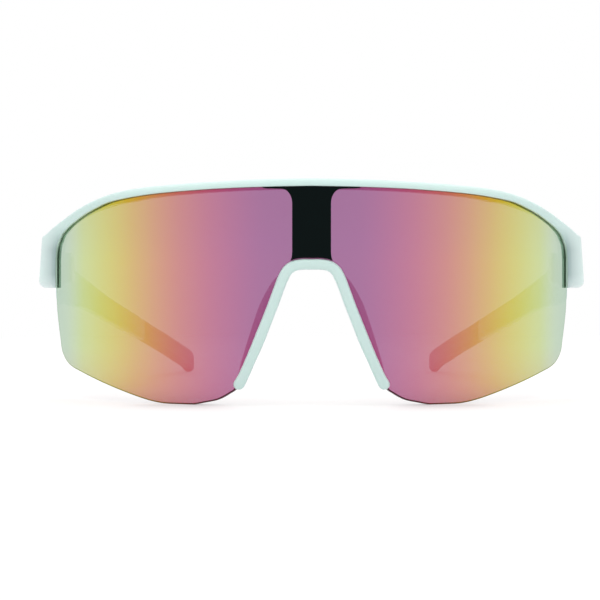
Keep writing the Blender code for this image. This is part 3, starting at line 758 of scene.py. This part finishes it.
def lens_rim():
    look = Look("lens_rim")
    look.set(Base_Color=across(look, rim_shares), IOR=1.58, Specular_IOR_Level=0.12)
    look.set(Roughness=look.span(look.noise(0.4 * mm), 0.2, 0.35))
    look.bump(look.noise(0.25 * mm), 0.006 * mm, 0.5)
    return look.made


def black_trim():
    look = plastic("black_trim", (0.0012, 0.0045, 0.0045), 0.2)
    look.set(Specular_IOR_Level=0.05)
    return look.made


def rubber(name, colour, roughness):
    look = Look(name)
    spots = look.noise(0.5 * mm, 4.0)
    look.set(Base_Color=look.blend(look.span(spots, 0.2, 0.8), colour, tuple(c * 0.86 for c in colour)))
    look.set(Roughness=look.span(spots, roughness - 0.08, roughness + 0.08))
    look.set(Sheen_Weight=0.12, Sheen_Roughness=0.5)
    look.bump(look.noise(0.18 * mm, 3.0), 0.012 * mm, 0.7)
    return look.made


def steel():
    look = Look("hinge_steel")
    brush = look.noise(0.5 * mm, 4.0, (1, 1, 14))
    look.set(Base_Color=look.blend(brush, (0.84, 0.83, 0.80), (0.92, 0.91, 0.88)), Metallic=1.0)
    look.set(Roughness=look.span(brush, 0.28, 0.42))
    look.bump(brush, 0.003 * mm, 0.6)
    return look.made


# The lens, and what it cuts

def lens_outline():
    """The lens's whole edge: over the top, down the side, along the bottom and round the nose."""
    nose = sized(nose_line_shares, nose_spread, nose_height)
    floor = sized(lens_floor_shares, lens_half_arc, lens_height)
    top = sized(lens_top_shares, lens_half_arc, lens_height)
    half = curve(top + floor[::-1] + nose[-2::-1])
    half = [Vector((p.x, max(p.y, 0))) for p in half]
    return half + [Vector((-p.x, p.y)) for p in reversed(half[1:-1])]


def brow_edge():
    """The lip's edge over the lens, from the middle out to the side wall."""
    return curve(sized(brow_edge_shares, brow_edge_arc, brow_edge_height))


def window_outline():
    """The part of the lens that the frame leaves free, on past the endpieces at the bottom."""
    last = Vector((brow_edge_arc, endpiece_floor - 2 * frame_back))
    return mirrored([Vector(p) for p in brow_edge()] + [last])


def front_low(arc):
    """Height of the uncut bar's lower side: out of sight under the brow, and the floor of the endpiece."""
    brow = follow(brow_edge_shares, arc / brow_edge_arc) * brow_edge_height - 3 * lip_drop
    share = ease((arc - brow_edge_arc + 5 * mm) / (3 * mm))
    return brow + (endpiece_floor - brow) * share


def frame_section(arc, inset=0.0):
    """The bar's section at one place, rounded at each corner, from its lower front edge up, over and down behind."""
    run = abs(arc)
    low = front_low(run) + inset
    top = follow(frame_top_shares, run / frame_arc) * frame_height - inset
    sideways = ease((run - brow_edge_arc) / (endpiece_start - brow_edge_arc))
    edge = lip_round + (endpiece_round - lip_round) * ease((run - brow_edge_arc) / (3 * mm))
    proud = frame_proud - inset
    lean = endpiece_lean * sideways
    back = frame_back + (joint_back - frame_back) * ease((run - thin_back_arc) / thin_back_run) - inset
    visible = top - max(low, follow(brow_edge_shares, run / brow_edge_arc) * brow_edge_height - 3 * mm * sideways)
    roll = ease((run - roll_arc) / roll_run)
    rise = min(bar_rise + (end_rise - bar_rise) * roll, max(visible, 0.5 * mm) * 0.97)
    crest = bar_crest + (end_crest - bar_crest) * roll
    behind = min(bar_back_round, (proud + back - crest) * 0.9)
    section = corner_round((proud - edge, low + edge), edge, edge, -1)
    section += corner_round((proud - lean - crest, top - rise), crest, rise, 0)
    section += corner_round((behind - back, top - behind), behind, behind, 1)
    section += corner_round((edge - back, low + edge), edge, edge, 2)
    return [place(arc, height, lift) for lift, height in section]


def front_frame(looks, pocket):
    count = math.ceil(frame_arc / ring_arc)
    runs = [frame_arc * i / count for i in range(count)]
    rings = [frame_section(run) for run in runs if run < frame_arc - end_round]
    for step in range(round_parts + 1):
        a = math.pi / 2 * step / round_parts
        rings.append(frame_section(frame_arc - end_round * (1 - math.sin(a)), end_round * (1 - math.cos(a))))
    other = [[Vector((-p.x, p.y, p.z)) for p in ring] for ring in reversed(rings[1:])]
    made = loft("front_frame_shell", other + rings, [looks["front"], looks["lip"]])
    window = window_outline()
    deep = frame_back + frame_proud

    def flare(spot):
        side = ease((abs(spot.x) - lip_turn_arc) / lip_turn_run)
        wide = lip_round + (side_lip_wide - lip_round) * side
        deep = lip_round + (side_lip_deep - lip_round) * side
        run = [(0, 0, 0)]
        for step in range(round_parts + 1):
            a = math.pi / 2 * step / round_parts
            run.append((frame_proud - deep * (1 - math.sin(a)), -wide * (1 - math.cos(a)), 0))
        return run + [(2 * frame_proud, -wide, 0)]

    def behind(spot):
        side = ease((abs(spot.x) - lip_turn_arc) / lip_turn_run)
        inset = lip_drop - (side_tuck + 1.5 * fit_gap + lip_drop) * side
        return [(-deep, inset, 0), (-lens_thickness, inset, 0)]

    front = plate("window_front", window, flare, (), (0, 0, [1] + [0] * (round_parts + 1)))
    rear = plate("window_rear", window, behind)
    cut(made, front, rear, pocket)
    for tool in (front, rear):
        bpy.data.objects.remove(tool)
    return made


# The nose piece, its pads and the middle trim

def nose_line():
    """The middle line of the nose piece's band, from the -X tip over the top to the +X tip."""
    return mirrored(curve(sized(nose_line_shares, nose_spread, nose_height)))


def side_normal(line, i):
    """The direction square to the line at one of its points, to the outer side of the U."""
    along = line[min(i + 1, len(line) - 1)] - line[max(i - 1, 0)]
    return Vector((-along.y, along.x)).normalized()


def nose_band(line):
    """(middle, direction outwards, half width) of the band at each point of its line."""
    band = []
    for i, spot in enumerate(line):
        normal = side_normal(line, i)
        out, inner = (follow(sizes, spot.y / nose_height) / 2 for sizes in (nose_outside, nose_inside))
        band.append((spot + normal * (out - inner), normal, nose_width / 2 + out + inner))
    return band


def nose_section(spot, normal, half):
    """The band's section at one place, with a slight draft on its outer side, and softer edges at the front."""
    back = -lens_thickness - fit_gap - nose_back
    draft = min(nose_draft, half / 3)
    front, rear = min(nose_front_round, half - draft / 2), min(nose_back_round, half)
    section = [(half, 0)]
    section += corner_round((half - draft - front, frame_proud - front), front, front, 0)
    section += corner_round((front - half, frame_proud - front), front, front, 1)
    section += corner_round((rear - half, back + rear), rear, rear, 2)
    section += corner_round((half - rear, back + rear), rear, rear, 3)
    ring = []
    for aside, lift in section:
        at = spot + normal * aside
        ring.append(straight_back(at.x, at.y, lift))
    return ring


def nose_bridge(looks, pocket):
    band = nose_band(nose_line())
    rings = [nose_section(*part) for part in band]
    for end in (0, -1):
        spot, normal, half = band[end]
        ahead = (spot - band[1 if end == 0 else -2][0]).normalized()
        tips = []
        for step in range(1, 2 * round_parts):
            a = math.pi / 4 * step / round_parts
            tips.append(nose_section(spot + ahead * half * math.sin(a), normal, half * math.cos(a) ** 0.7))
        rings = tips[::-1] + rings if end == 0 else rings + tips
    made = loft("nose_bridge_shell", rings, [looks["mint"], looks["lip"]])
    cut(made, pocket)
    return made


def nose_pad(side, looks):
    """A soft pad on the back of one leg, rounded all over, which flares out towards the face."""
    start_share, end_share = pad_reach_shares
    line = [p for p in nose_line() if p.x * side > 0]
    line = line if side > 0 else line[::-1]
    line = [p for p in line if end_share <= p.y / nose_height <= start_share]
    face = -lens_thickness - fit_gap - nose_back - fit_gap
    rings = []
    for i, spot in enumerate(line):
        share = (line[0].y - spot.y) / (line[0].y - line[-1].y)
        reach = follow(pad_depth_shares, share)
        end = math.sqrt(max(1 - abs(2 * share - 1) ** 6, 0.02))
        normal = side_normal(line, i) * side
        normal = normal if normal.x * side > 0 else -normal
        depth, flare = pad_depth * reach * end, pad_flare * reach
        half = pad_thickness / 2 * end
        soft = half * 0.85
        section = corner_round((half - soft, depth - soft), soft, soft, 0)
        section += corner_round((soft - half, depth - soft), soft, soft, 1)
        section += corner_round((0.3 * soft - half, 0.3 * soft), 0.3 * soft, 0.3 * soft, 2)
        section += corner_round((half - 0.3 * soft, 0.3 * soft), 0.3 * soft, 0.3 * soft, 3)
        ring = []
        for out, back in section:
            at = spot + normal * (out + flare * back / max(depth, mm))
            ring.append(straight_back(at.x, at.y, face - back))
        rings.append(ring)
    return loft(f"nose_pad_{side_name(side)}_soft", rings, [looks["pad"]])


def bridge_strip(looks):
    """The black trim plate on the front of the lens, seated on the brow and on the arch."""
    arch = [spot + normal * half for spot, normal, half in nose_band(nose_line())]
    foot_half = strip_half_width + strip_foot
    arch = [p for p in arch if 0 <= p.x < foot_half and p.y > nose_height / 2]
    foot_floor = arch[-1].y
    top = brow_edge_shares[0][1] * brow_edge_height
    waist_out, waist_up = strip_foot_waist_shares
    foot = curve([
        (foot_half, foot_floor),
        (strip_half_width + strip_foot * waist_out, foot_floor + strip_foot_height * waist_up),
        (strip_half_width, foot_floor + strip_foot_height),
    ])
    half = arch + foot
    for step in range(2 * round_parts + 1):
        a = math.pi / 4 * step / round_parts
        x = strip_half_width + strip_fillet_wide * (1 - math.cos(a))
        half.append(Vector((x, top - strip_wing_depth - strip_fillet_tall * (1 - math.sin(a)))))
    under = follow(brow_edge_shares, strip_wing / brow_edge_arc) * brow_edge_height
    half.append(Vector((strip_wing, under - strip_wing_end)))
    half.append(Vector((strip_wing, under)))
    outline = mirrored(half) + [Vector((0, top))]
    levels = edge_levels(fit_gap / 3, fit_gap + strip_thickness, strip_edge / 3, strip_edge)
    return plate("bridge_strip_plate", outline, levels, [looks["black"]], apart=strip_cuts)


# Arms and sleeves

def side_name(side):
    """The wearer's left is +X."""
    return "left" if side > 0 else "right"


def temple_spot(side, share):
    """(inner face's place, direction outwards) of an arm at a share of its length, in plan."""

    def spot(at):
        x = tip_half_spread + (joint_x - tip_half_spread) * follow(temple_plan_shares, at)
        return Vector((x, front_y + joint_depth + temple_reach * at))

    step = 0.004
    if share <= 0:
        along = Vector((-math.sin(joint_angle), math.cos(joint_angle)))
    else:
        along = (spot(share + step) - spot(share - step)).normalized()
    inner = spot(share)
    return Vector((inner.x * side, inner.y)), Vector((along.y * side, -along.x))


def temple_section(side, share, grow=0.0, inset=0.0):
    """An arm's section at a share of its length, with rounded edges."""
    inner, out = temple_spot(side, share)
    thickness = joint_thickness * follow(temple_thickness_shares, share) + 2 * grow - 2 * inset
    chin = temple_floor_shares[0][0]
    low = follow(temple_floor_shares, max(share, chin)) * endpiece_top
    low = (endpiece_floor if share < chin else low) + inset
    top = follow(temple_top_shares, share) * endpiece_top - inset
    soft = temple_round + (sleeve_round - temple_round) * grow / sleeve_extra
    edge = min(soft, thickness * 0.45, (top - low) * 0.45)
    lean = endpiece_lean * max(1 - share / sleeve_share, 0)
    section = corner_round((thickness - edge, low + edge), edge, edge, -1)
    section += corner_round((thickness - lean - edge, top - edge), edge, edge, 0)
    section += corner_round((edge, top - edge), edge, edge, 1)
    section += corner_round((edge, low + edge), edge, edge, 2)
    ring = []
    for aside, height in section:
        at = inner + out * (aside - grow + inset)
        ring.append(Vector((at.x, at.y, height)))
    return ring


def temple(side, looks):
    """An arm and its rubber sleeve."""
    name = side_name(side)
    length = sleeve_share
    shares = [length * i / temple_rings for i in range(1, temple_rings)]
    shares = [s for s in shares if end_round / temple_reach < s < length - end_round / temple_reach]
    shares += [temple_floor_shares[0][0] + 0.0005 * i for i in range(1, 20)]
    rings = []
    for step in range(round_parts + 1):
        a = math.pi / 2 * step / round_parts
        share = end_round * (1 - math.cos(a)) / temple_reach
        rings.append(temple_section(side, share, 0, end_round * (1 - math.sin(a))))
    rings += [temple_section(side, s) for s in sorted(shares)]
    rings.append(temple_section(side, length))
    arm = loft(f"temple_arm_{name}_shell", rings, [looks["arm"]])

    start = sleeve_share + fit_gap / temple_reach / 3

    def extra(share):
        return sleeve_start + (sleeve_extra - sleeve_start) * ease((share - start) * temple_reach / sleeve_swell)

    rings = []
    for step in range(round_parts + 1):
        a = math.pi / 2 * step / round_parts
        share = start + end_round * (1 - math.cos(a)) / temple_reach
        rings.append(temple_section(side, share, extra(share), end_round * (1 - math.sin(a))))
    first = start + 2 * end_round / temple_reach
    shares = [first + (0.985 - first) * i / temple_rings for i in range(temple_rings)]
    rings += [temple_section(side, share, extra(share)) for share in shares]
    for step in range(2 * round_parts + 1):
        a = math.pi / 4 * step / round_parts
        share = 0.985 + 0.015 * math.sin(a)
        rings.append(temple_section(side, share, sleeve_extra, temple_round * 0.8 * (1 - math.cos(a)) * (a > 0)))
    tip = loft(f"temple_tip_{name}_sleeve", rings, [looks["rubber"]])
    return arm, tip


# The studio

white = (1.0, 1.0, 1.0)
table_glow = (1.25, 1.2, 1.2)
table_half = 3.0
table_grey = (0.86, 0.86, 0.86, 1.0)
table_roughness = 0.7
glow_run = (0.12, 0.5)
world_strength = 0.52
# A shadow painted on the table in front of each foot of the lens
painted_shadow_tint = (0.05, -0.15, -0.2)
contact_reach = 20 * mm
contact_rays = 8
contact_middle = 33 * mm
contact_half = (5 * mm, 15 * mm)
contact_front = (-76 * mm, -70 * mm)
# Name, place and side in metres, and power in watts
lamps = (
    ("lamp_top", (0.0, 0.05, 0.9), 1.2, 6.5),
    ("lamp_left", (-0.9, -0.1, 0.35), 0.8, 1.0),
    ("lamp_right", (0.9, -0.1, 0.35), 0.8, 1.0),
    ("lamp_front", (0.0, -1.1, 0.3), 0.9, 2.4),
)


def studio():
    """A white table under soft plain light, and the photograph's camera."""
    mesh = bpy.data.meshes.new("table")
    signs = ((-1, -1), (1, -1), (1, 1), (-1, 1))
    mesh.from_pydata([(x * table_half, y * table_half, 0) for x, y in signs], [], [(0, 1, 2, 3)])
    table = bpy.data.objects.new("table", mesh)
    bpy.context.scene.collection.objects.link(table)
    look = Look("table_white")
    look.set(Base_Color=table_grey, Roughness=table_roughness)
    away = look.add("ShaderNodeVectorMath", Vector=look.where)
    away.operation = "LENGTH"
    far = look.span(away.outputs["Value"], 0.0, 1.0, *glow_run)
    share = look.span(far, 0.5, 1.0)
    # Painted shadow: ambient occlusion darkens the table's white, kept by place to a patch in front of each foot
    contact = look.add("ShaderNodeAmbientOcclusion", Distance=contact_reach)
    contact.samples = contact_rays
    near = look.blend(contact.outputs["AO"], painted_shadow_tint, table_glow)
    parts = look.add("ShaderNodeSeparateXYZ", Vector=look.where)
    near = look.blend(look.span(parts.outputs["Y"], 0.0, 1.0, *contact_front), near, table_glow)
    aside = look.reckon("ABSOLUTE", parts.outputs["X"])
    off_middle = look.reckon("ABSOLUTE", look.reckon("SUBTRACT", aside, contact_middle))
    near = look.blend(look.span(off_middle, 0.0, 1.0, *contact_half), near, table_glow)
    glow = look.blend(far, near, white)
    surface = look.output.inputs["Surface"]
    white_for_view(look.tree, look.shader.outputs[0], surface, (share, 1.0), (glow, white))
    mesh.materials.append(look.made)

    world = bpy.data.worlds.new("studio")
    bpy.context.scene.world = world
    world.use_nodes = True
    tree = world.node_tree
    soft = tree.nodes["Background"]
    soft.inputs["Color"].default_value = (1.0, 1.0, 1.0, 1.0)
    soft.inputs["Strength"].default_value = world_strength
    surface = tree.nodes["World Output"].inputs["Surface"]
    white_for_view(tree, soft.outputs[0], surface, (1.0, 1.0), (white, white))

    for name, spot, size, power in lamps:
        data = bpy.data.lights.new(name, "AREA")
        data.shape = "SQUARE"
        data.size = size
        data.energy = power
        lamp = bpy.data.objects.new(name, data)
        lamp.location = spot
        lamp.rotation_euler = (Vector((0, 0, 0.02)) - Vector(spot)).to_track_quat("-Z", "Y").to_euler()
        lamp.visible_glossy = False
        lamp.visible_camera = False
        bpy.context.scene.collection.objects.link(lamp)

    data = bpy.data.cameras.new("camera")
    data.sensor_width = 36.0
    data.lens = 95.4
    data.shift_x = -0.0193
    data.shift_y = -0.0183
    data.clip_start = 0.01
    camera = bpy.data.objects.new("camera", data)
    camera.location = (0, front_y - 0.380, 0.02802)
    camera.rotation_euler = (math.pi / 2, 0, 0)
    bpy.context.scene.collection.objects.link(camera)
    bpy.context.scene.camera = camera
    bpy.context.scene.view_settings.view_transform = "Standard"


def white_for_view(tree, plain, target, shares, colours):
    """Mixes in white for what the camera sees, then for mirrors and glass, and leaves the light as it is."""
    nodes, links = tree.nodes, tree.links
    path = nodes.new("ShaderNodeLightPath")
    mirrored_too = nodes.new("ShaderNodeMath")
    mirrored_too.operation = "MAXIMUM"
    links.new(path.outputs["Is Glossy Ray"], mirrored_too.inputs[0])
    links.new(path.outputs["Is Transmission Ray"], mirrored_too.inputs[1])
    kind = "ShaderNodeEmission" if target.node.type == "OUTPUT_MATERIAL" else "ShaderNodeBackground"
    for seen, share, colour in zip((path.outputs["Is Camera Ray"], mirrored_too.outputs[0]), shares, colours):
        part = nodes.new("ShaderNodeMath")
        part.operation = "MULTIPLY"
        links.new(seen, part.inputs[0])
        if isinstance(share, bpy.types.NodeSocket):
            links.new(share, part.inputs[1])
        else:
            part.inputs[1].default_value = share
        white = nodes.new(kind)
        if isinstance(colour, bpy.types.NodeSocket):
            links.new(colour, white.inputs["Color"])
        else:
            white.inputs["Color"].default_value = (*colour, 1.0)
        both = nodes.new("ShaderNodeMixShader")
        links.new(part.outputs[0], both.inputs[0])
        links.new(plain, both.inputs[1])
        links.new(white.outputs[0], both.inputs[2])
        plain = both.outputs[0]
    links.new(plain, target)


def dress(made, body, slot, *nodes):
    """Puts a piece on its body, in place of the plain solids that it stands for."""
    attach(made, body)
    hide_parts(*nodes)


def main():
    looks = {
        "mint": mint("mint_plastic").made,
        "arm": arm_mint(),
        "front": front_mint(),
        "lip": lip_wall_shade(),
        "coat": lens_coat(),
        "inside": lens_inside(),
        "rim": lens_rim(),
        "black": black_trim(),
        "pad": rubber("pad_rubber", (0.16, 0.26, 0.24), 0.5),
        "rubber": rubber("sleeve_rubber", (0.30, 0.36, 0.35), 0.62),
        "steel": steel(),
    }
    studio()
    outline = lens_outline()
    edge = [1] * (round_parts + 1) + [2] * round_parts
    glass = plate("shield_lens_mirror", outline, edge_levels(-lens_thickness, 0, lens_edge, lens_edge),
                  [looks["coat"], looks["inside"], looks["rim"]], (0, 1, edge))
    dress(glass, "front", "mirror_lens", "shield_lens")
    wide = [p for p, _ in offset(outline, fit_gap)]
    pocket = plate("pocket", wide, [(-lens_thickness - fit_gap, 0, 0), (fit_gap, 0, 0)], (), (1, 1, 1))
    dress(front_frame(looks, pocket), "front", "mint_plastic", "front_frame")
    dress(nose_bridge(looks, pocket), "front", "mint_plastic", "nose_bridge")
    bpy.data.objects.remove(pocket)
    dress(bridge_strip(looks), "front", "black_trim", "bridge_strip")
    for side in (1, -1):
        name = side_name(side)
        dress(nose_pad(side, looks), "front", "pad_rubber", f"nose_pad_{name}")
        arm, tip = temple(side, looks)
        dress(arm, f"temple_{name}", "mint_plastic", f"temple_arm_{name}")
        dress(tip, f"temple_{name}", "sleeve_rubber", f"temple_tip_{name}")
    for name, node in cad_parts.items():
        if not node.hide_render:
            node.data.materials.clear()
            node.data.materials.append(looks["steel"])


main()
